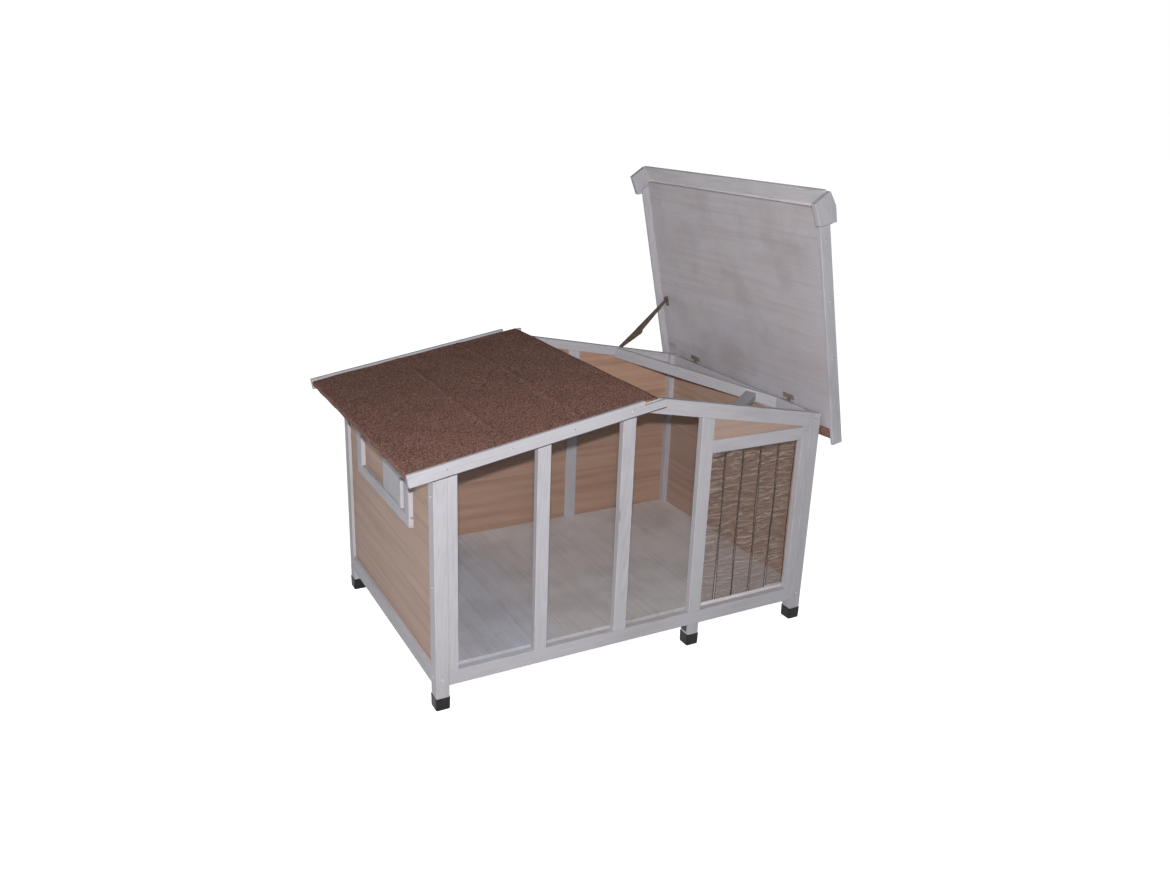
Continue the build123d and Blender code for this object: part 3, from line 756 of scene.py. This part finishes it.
fixed_low, fixed_high, notch_n = -0.013, 0.018, 0.0065
eave_s = -0.070
tip = cabin_left + 0.581
notch = cabin_left + 0.519
outline = [
    (eave_s, fixed_low), (left_slope_to(tip, fixed_low), fixed_low),
    (left_slope_to(tip, notch_n), notch_n), (left_slope_to(notch, notch_n), notch_n),
    (left_slope_to(notch, fixed_high), fixed_high), (eave_s, fixed_high),
]
slope_grain = (math.cos(left_pitch), 0.0, math.sin(left_pitch))
for name, y in (("front", front_edge), ("back", back_edge - barge_thick)):
    points = [(left_slope(s, n)[0], y, left_slope(s, n)[1]) for s, n in outline]
    cut_shape(
        "fixed_barge_board_" + name, points, np.array([0, barge_thick, 0]), slope_grain,
        white_board, "house", node="fixed_barge_" + name,
    )


# Roofing felt --------------------------------------------------------------------
# Red-brown bitumen felt faced with crushed mineral is laid over each panel, turned down
# at the eave and tacked underneath. It keeps two soft creases and a slightly ragged edge.
felt = Finish("mineral_roofing_felt", roughness=0.92, specular_ior_level=0.2)
grit = felt.node(
    "ShaderNodeTexVoronoi", {"feature": "F1"}, {"Vector": felt.place((640, 640, 640)), "Scale": 1.0}, 1
)
grit = felt.node("ShaderNodeSeparateColor", None, {0: grit})
coarse = felt.noise(felt.place((210, 210, 210)), detail=3.0, rough=0.75)
cloudy = felt.noise(felt.place((13, 13, 13)), detail=4.0, rough=0.6)
chip = felt.node("ShaderNodeTexVoronoi", None, {"Vector": felt.place((900, 900, 900)), "Scale": 1.0})
brown = felt.blend(coarse.above(0.30, 0.70), (0.155, 0.066, 0.051), (0.45, 0.235, 0.19))
brown = felt.blend(cloudy.above(0.35, 0.7) * 0.35, brown, (0.205, 0.108, 0.084))
brown = felt.blend(grit.above(0.86, 0.90) * 0.8, brown, (0.66, 0.44, 0.36))
brown = felt.blend(1 - grit.above(0.10, 0.14), brown, (0.030, 0.020, 0.018))
felt.wear(
    base_color=brown, roughness=0.95 - grit * 0.15,
    normal=felt.bump(coarse * 0.7 + chip * 0.5, 0.0011),
)
felt_thick = 0.0025
felt_front = front_edge + barge_thick
felt_back = back_edge - barge_thick


def felt_sheet(side, under, top, head, count=110):
    """Outer face of the felt: a path down the slope, round the eave and under, carried front to back.

    The path is straight down the slope, a quarter circle round the eave, a short drop and
    another quarter circle under it. Low waves and two narrow swells lift it off the panel.
    """
    y = np.linspace(felt_front + 0.0006, felt_back - 0.0006, count)
    eave = -0.066 - felt_thick
    bend = np.linspace(0, math.pi / 2, 7)[1:]
    s = np.concatenate([
        np.linspace(head, eave + 0.006, 120), eave + 0.006 - 0.006 * np.sin(bend),
        eave + 0.004 - 0.004 * np.cos(bend), [eave + 0.012, eave + 0.031],
    ])
    n = np.concatenate([
        np.full(120, top), top - 0.006 + 0.006 * np.cos(bend),
        under - felt_thick + 0.004 - 0.004 * np.sin(bend), [under - felt_thick] * 2,
    ])
    s, along = np.meshgrid(s, y, indexing="ij")
    n = np.repeat(n[:, None], count, 1)
    on_slope = np.clip((s + 0.05) / 0.04, 0, 1)
    low_waves = np.sin(s * 19 + along * 5) + np.sin(along * 23 - s * 7) + np.sin(s * 41 + along * 31)
    low_waves = 0.0004 * low_waves
    swell = np.exp(-((s - 0.19 - 0.004 * np.sin(along * 9)) / 0.006) ** 2)
    swell = swell + np.exp(-((s - 0.385 - 0.005 * np.sin(along * 7 + 1)) / 0.006) ** 2)
    n = n + on_slope * (0.0006 + low_waves + 0.0016 * swell)
    ragged = 0.0006 * np.sin(along * 57) + 0.0004 * np.sin(along * 131 + 1) + 0.0003 * np.sin(along * 263)
    n = n + (1 - on_slope) * ragged
    s = s + (1 - on_slope) * 0.7 * np.roll(ragged, 3, axis=1)
    x, z = side(s, n)
    return np.stack([x, along, z], 2)


def lay_felt(name, points, body, node):
    """The worked-out outer face as a piece, turned to face up and thickened towards its panel."""
    rows, columns = points.shape[:2]
    piece = mesh_piece(
        name, points.reshape(-1, 3), quads(rows, columns), felt.material, body, node=node
    )
    middle = piece.data.polygons[(rows // 3) * (columns - 1) + columns // 2]
    if middle.normal.z < 0:
        piece.data.flip_normals()
    wall = piece.modifiers.new("felt_thickness", "SOLIDIFY")
    wall.thickness = felt_thick - 0.0002
    wall.offset = -1.0


panel_thick = 0.009
fixed_felt = felt_sheet(left_slope, 0.0, panel_thick + felt_thick, 0.5775)
lay_felt("roof_felt_left", fixed_felt, "house", "fixed_roof_felt")


# Lid -----------------------------------------------------------------------------
# The right half of the roof is one hinged lid: panel, felt and two barge boards, with a
# ridge cap of two boards and shaped end plates. It is worked out shut, then turned open.
hinge = next(j for j in frame["joints"] if j["name"] == "lid_hinge")
pivot = Vector(hinge["pos_m"])
open_by = math.radians(-hinge["range_deg"][0])


def opened(points):
    """Turn points of the shut lid about the hinge line until it stands open."""
    p = np.asarray(points, float)
    dx = p[..., 0] - pivot.x
    dz = p[..., 2] - pivot.z
    x = pivot.x + dx * math.cos(open_by) + dz * math.sin(open_by)
    z = pivot.z - dx * math.sin(open_by) + dz * math.cos(open_by)
    return np.stack([x, p[..., 1], z], -1)


lift = 0.001
cap_n = lift + panel_thick + felt_thick
lid_felt = opened(felt_sheet(right_slope, lift, cap_n, 0.576))
lay_felt("roof_felt_lid", lid_felt, "lid", "lid_felt")
if bpy.data.objects["roof_felt_lid"].data.polygons[4000].normal.x < 0:
    bpy.data.objects["roof_felt_lid"].data.flip_normals()

low_n = -0.020
tip = cabin_left + 0.583
for name, y in (("front", front_edge), ("back", back_edge - barge_thick)):
    c = np.zeros((2, 2, 2, 3))
    for q, n in enumerate((low_n, cap_n)):
        for t, s in enumerate((eave_s, slope_to(tip, n))):
            for p in (0, 1):
                x, z = right_slope(s, n)
                c[t, p, q] = (x, y + barge_thick * p, z)
    board("lid_barge_board_" + name, opened(c), white_board, body="lid", node="lid_barge_" + name)

cap_board = 0.0085
for name, side, edge in (("near", right_slope, cap_s - 0.044), ("far", left_slope, cap_s - 0.042)):
    c = np.zeros((2, 2, 2, 3))
    for t, y in enumerate((front_edge, back_edge)):
        for q, n in enumerate((cap_n, cap_n + cap_board)):
            c[t, 0, q] = (ridge_x, y, ridge_z + n / math.cos(pitch))
            x, z = side(edge, n)
            c[t, 1, q] = (x, y, z)
    board("ridge_cap_board_" + name, opened(c), paler_white_board, body="lid", node="ridge_cap_boards")

cap_top = ridge_z + (cap_n + cap_board) / math.cos(pitch)
plate_half, plate_foot_half, plate_thick = 0.041, 0.030, 0.016
shoulder = cap_top - plate_half * math.tan(pitch)
plate_foot = cap_top - 0.062
plate = [
    (ridge_x, cap_top), (ridge_x + plate_half, shoulder), (ridge_x + plate_foot_half, plate_foot),
    (ridge_x - plate_foot_half, plate_foot), (ridge_x - plate_half, shoulder),
]
lid_grain = opened([[pivot.x, 0, pivot.z], [pivot.x - 1, 0, pivot.z]])
lid_grain = lid_grain[1] - lid_grain[0]
for name, y in (("front", front_edge - plate_thick), ("back", back_edge)):
    points = opened([(x, y, z) for x, z in plate])
    cut_shape(
        "ridge_cap_end_" + name, points, np.array([0, plate_thick, 0]), lid_grain, white_board, "lid",
        node="ridge_cap_end_plates",
    )


# Screws --------------------------------------------------------------------------
# Zinc-plated pan-head screws with a cross recess hold the rails and barge boards. Only
# their heads are made, standing on the face of the timber.
zinc = Finish("zinc_plated_steel", metallic=1.0)
haze = zinc.noise(zinc.place((260, 260, 260)), detail=3.0)
zinc.wear(
    base_color=zinc.blend(haze.above(0.35, 0.7), (0.42, 0.42, 0.43), (0.62, 0.61, 0.60)),
    roughness=0.30 + haze * 0.25,
    normal=zinc.bump(haze, 0.0001),
)


def screw_heads(name, places, body, node=(), radius=0.0032, height=0.0012, finish=zinc.material):
    """Pan heads: height falls from the middle as a flattened dome, less a cross sunk into the crown.

    places holds (centre, outward direction) for each head, and all heads share one piece.
    """
    ring = np.array([0, 0.16, 0.30, 0.44, 0.52, 0.66, 0.82, 0.94, 1.0, 1.0, 0.0])
    rise = np.array([1, 1, 0.995, 0.98, 0.96, 0.90, 0.75, 0.52, 0.25, -0.3, -0.3])
    theta = np.linspace(0, 2 * math.pi, 33)[:-1]
    x = ring[:, None] * np.cos(theta)
    y = ring[:, None] * np.sin(theta)
    cross = (np.minimum(np.abs(x), np.abs(y)) < 0.13) & (ring[:, None] < 0.5) & (rise[:, None] > 0)
    z = rise[:, None] - 0.55 * cross
    head = np.stack([x * radius, y * radius, z * height], -1).reshape(-1, 3)
    points = []
    for centre, out in places:
        turn_to = np.array(Vector(out).to_track_quat("Z", "Y").to_matrix())
        points.append(head @ turn_to.T + np.array(centre))
    grid = quads(len(ring), 32, True)
    faces = np.concatenate([grid + len(head) * k for k in range(len(places))])
    return mesh_piece(name, np.concatenate(points), faces, finish, body, node=node, smooth=False)


middle_front = cabin_front + leg / 2
middle_back = cabin_back - leg / 2
house_screws = []
for x, out in ((cabin_left, -1), (cabin_right, 1)):
    for y in (middle_front, middle_back):
        house_screws += [((x, y, z), (out, 0, 0)) for z in (0.088, 0.330, 0.560)]
for x in (cabin_left + leg / 2, cabin_right - leg / 2):
    house_screws += [((x, cabin_front, z), (0, -1, 0)) for z in (0.084, 0.616)]
lid_screws = []
for s in (0.020, 0.180, 0.340, 0.500):
    x, z = left_slope(s, (fixed_low + fixed_high) / 2)
    house_screws += [((x, front_edge, z), (0, -1, 0)), ((x, back_edge, z), (0, 1, 0))]
    x, z = right_slope(s, -0.0025)
    for y, out in ((front_edge, -1), (back_edge, 1)):
        lid_screws.append((tuple(opened((x, y, z))), (0, out, 0)))
screw_heads("house_screw_heads", house_screws, "house", node="screws_house")
screw_heads("lid_screw_heads", lid_screws, "lid", node="screws_lid")


# Hinges ---------------------------------------------------------------------------
# Two brassed butt hinges join the right top rail and the lid. Their pressed leaves are
# dull from handling and each is held by small countersunk screws.
brass = Finish("dull_brassed_steel", metallic=0.35)
tarnish = brass.noise(brass.place((70, 70, 70)), detail=4.0, rough=0.65)
scratch = brass.noise(brass.place((40, 900, 40)), detail=2.0)
brass.wear(
    base_color=brass.blend(tarnish.above(0.4, 0.7), (0.36, 0.31, 0.26), (0.24, 0.19, 0.15)),
    roughness=0.38 + tarnish * 0.30,
    normal=brass.bump(scratch, 0.0001),
)
for node in ("hinge_wall_leaves", "hinge_lid_leaves"):
    dress(node, brass.material)
wall_screws = []
lid_leaf_screws = []
for y0, y1 in ((0.126, 0.174), (0.600, 0.648)):
    for share in (0.2, 0.8):
        y = cabin_front + y0 + (y1 - y0) * share
        wall_screws.append(((cabin_right + 0.0012, y, pivot.z - 0.0155), (1, 0, 0)))
        x, z = right_slope(0.0145, -0.0004)
        under = opened([[x, y, z], [x + math.sin(-pitch), y, z - math.cos(pitch)]])
        lid_leaf_screws.append((tuple(under[0]), tuple(under[1] - under[0])))
screw_heads("hinge_screws_wall", wall_screws, "house", radius=0.0024, height=0.0006,
            finish=brass.material)
screw_heads("hinge_screws_lid", lid_leaf_screws, "lid", radius=0.0024, height=0.0006,
            finish=brass.material)


# Folding stay --------------------------------------------------------------------
# Two tapered flat arms in dark bronzed steel, riveted at a knuckle, hold the lid open.
# One turns on a foot plate behind the back rafter and one on an ear under the lid.
bronze = Finish("bronzed_steel", metallic=0.25)
worn = bronze.noise(bronze.place((85, 85, 85)), detail=4.0, rough=0.7)
drawn = bronze.noise(bronze.place((900, 60, 300)), detail=2.0)
stay_thick = 0.003
bronze.wear(
    base_color=bronze.blend(worn.above(0.42, 0.72), (0.11, 0.088, 0.064), (0.23, 0.19, 0.145)),
    roughness=0.40 + worn * 0.25,
    normal=bronze.bump(drawn, 0.00012),
)
foot_at = Vector(next(j for j in frame["joints"] if j["name"] == "stay_foot_pivot")["pos_m"])
pin_at = Vector(next(j for j in frame["joints"] if j["name"] == "stay_lid_pivot")["pos_m"])
lower_length, upper_length = 0.1020939, 0.1400513
span = Vector((pin_at.x - foot_at.x, 0.0, pin_at.z - foot_at.z))
reach = span.length
fold = math.acos((lower_length ** 2 + reach ** 2 - upper_length ** 2) / (2 * lower_length * reach))
heading = math.atan2(span.z, span.x) - fold
knuckle = Vector((
    foot_at.x + lower_length * math.cos(heading), 0.0, foot_at.z + lower_length * math.sin(heading)
))


def stay_arm(name, start, end, y, body, node, narrow, wide):
    """Tapered bar: a half circle of each radius about each pivot, joined by straight sides."""
    line = math.atan2(end.z - start.z, end.x - start.x)
    sweep = np.linspace(-math.pi / 2, math.pi / 2, 15)
    points = []
    for centre, radius, facing in ((end, wide, 0.0), (start, narrow, math.pi)):
        a = line + facing + sweep
        ring = np.stack([centre.x + radius * np.cos(a), np.full(15, y), centre.z + radius * np.sin(a)], 1)
        points.append(ring)
    along = (math.cos(line), 0.0, math.sin(line))
    cut_shape(
        name, np.concatenate(points), np.array([0, stay_thick, 0]), along, bronze.material, body,
        node=node, ease=0.0005,
    )


lower_y = cabin_back + 0.0015
upper_y = cabin_back + 0.006
stay_arm("stay_arm_lower", foot_at, knuckle, lower_y, "stay_lower", "stay_lower_arm", 0.004, 0.013)
stay_arm("stay_arm_upper", pin_at, knuckle, upper_y, "stay_upper", "stay_upper_arm", 0.0045, 0.011)
for node in ("stay_frame_bracket", "stay_lid_bracket"):
    dress(node, bronze.material)
screw_heads(
    "stay_knuckle_rivet", [((knuckle.x, upper_y + stay_thick, knuckle.z), (0, 1, 0))], "stay_upper",
    radius=0.0042, height=0.0013, finish=bronze.material,
)


# Door strips ----------------------------------------------------------------------
# Five strips of clear soft vinyl hang in the doorway from a wooden bar behind the header.
# They are embossed with fine cross wrinkles and have set into a slight curl and bow.
# Paler lines along the wrinkle crests and small bright flecks are painted highlights.
vinyl = Finish("clear_wrinkled_vinyl", roughness=0.3, ior=1.52, specular_ior_level=0.5)
cross_fine = vinyl.noise(vinyl.place((20, 175, 1), uv="grain"), detail=4.0, rough=0.72, distortion=0.25)
cross_broad = vinyl.noise(vinyl.place((9, 85, 1), uv="grain"), detail=2.0, rough=0.5, distortion=0.4)
pebble = vinyl.noise(vinyl.place((240, 240, 1), uv="grain"), detail=2.0, rough=0.6)
across_strip = vinyl.node(
    "ShaderNodeSeparateXYZ", None, {0: vinyl.node("ShaderNodeUVMap", {"uv_map": "edge"})}
)
rim = (across_strip - 0.5).maths("ABSOLUTE", across_strip - 0.5).above(0.44, 0.485)
# Painted highlights: paler lines stand for light caught on the wrinkle crests and bright flecks for
# glints. Both also raise the alpha.
painted_crest_highlight = cross_fine.above(0.46, 0.57) * (cross_broad.above(0.38, 0.60) * 0.45 + 0.55)
painted_glint = cross_broad.above(0.60, 0.72) * cross_fine.above(0.54, 0.66)
tint_and_painted_highlights = vinyl.blend(painted_crest_highlight, (0.14, 0.080, 0.056), (0.56, 0.43, 0.36))
tint_and_painted_highlights = vinyl.blend(painted_glint, tint_and_painted_highlights, (0.66, 0.58, 0.53))
tint_and_painted_highlights = vinyl.blend(rim, tint_and_painted_highlights, (0.055, 0.034, 0.026))
vinyl.wear(
    base_color=tint_and_painted_highlights,
    alpha=0.20 + painted_crest_highlight * 0.14 + painted_glint * 0.14 + rim * 0.50,
    roughness=0.22 + pebble * 0.2,
    normal=vinyl.bump(cross_broad * 0.6 + cross_fine * 0.3 + pebble * 0.12, 0.0006),
)


def door_strip(number):
    """One strip: a grid over width and drop, bowed and twisted by slow waves that grow downward."""
    node = "door_strip_%d" % number
    low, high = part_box(node)
    across_share = np.linspace(0, 1, 13)
    drop_share = np.linspace(0, 1, 90)
    drop, side = np.meshgrid(drop_share, across_share, indexing="ij")
    fall = high.z - low.z
    bow = 0.0011 * np.sin(drop * 7.5 + number * 1.9) + 0.0006 * np.sin(drop * 17 + number * 4.3)
    twist = (side - 0.5) * 0.0026 * np.sin(drop * 4.1 + number * 2.7)
    curl = 0.0009 * (2 * side - 1) ** 2 * math.cos(number * 2.2)
    y = (low.y + high.y) / 2 + np.clip(drop * 3, 0, 1) * (bow + twist + curl)
    x = low.x + 0.0003 + side * (high.x - low.x - 0.0006)
    points = np.stack([x, y, high.z - fall * drop], 2).reshape(-1, 3)
    metres = np.stack([side * (high.x - low.x) + number * 0.7, drop * fall], 2).reshape(-1, 2)
    piece = mesh_piece(
        "vinyl_door_strip_%d" % number, points, quads(90, 13), vinyl.material, "strip_%d" % number,
        uv=metres, node=node, merge=False,
    )
    share = np.stack([side, drop], 2).reshape(-1, 2)
    loops = quads(90, 13).ravel()
    edge_map = piece.data.uv_layers.new(name="edge")
    edge_map.data.foreach_set("uv", share[loops].astype(np.float32).ravel())
    wall = piece.modifiers.new("vinyl_thickness", "SOLIDIFY")
    wall.thickness = 0.0012
    wall.offset = 0.0


for number in range(1, 6):
    door_strip(number)
board(
    "strip_clamp_timber", block(*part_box("strip_clamp_bar"), 0), white_board, node="strip_clamp_bar"
)


# Leg brackets --------------------------------------------------------------------
# Small black angles sit at the joint between each middle leg and its rail.
black = Finish("black_leg_angle_finish", metallic=0.2)
pale_flecks = black.noise(black.place((130, 130, 130)), detail=4.0, rough=0.65)
black.wear(
    base_color=black.blend(pale_flecks.above(0.5, 0.8), (0.012, 0.012, 0.013), (0.05, 0.048, 0.046)),
    roughness=0.38 + pale_flecks * 0.25,
    normal=black.bump(pale_flecks, 0.0002),
)
dress("leg_brackets", black.material)


# Sizes ----------------------------------------------------------------------------
# The box of the finished object is worked out.
low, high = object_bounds()
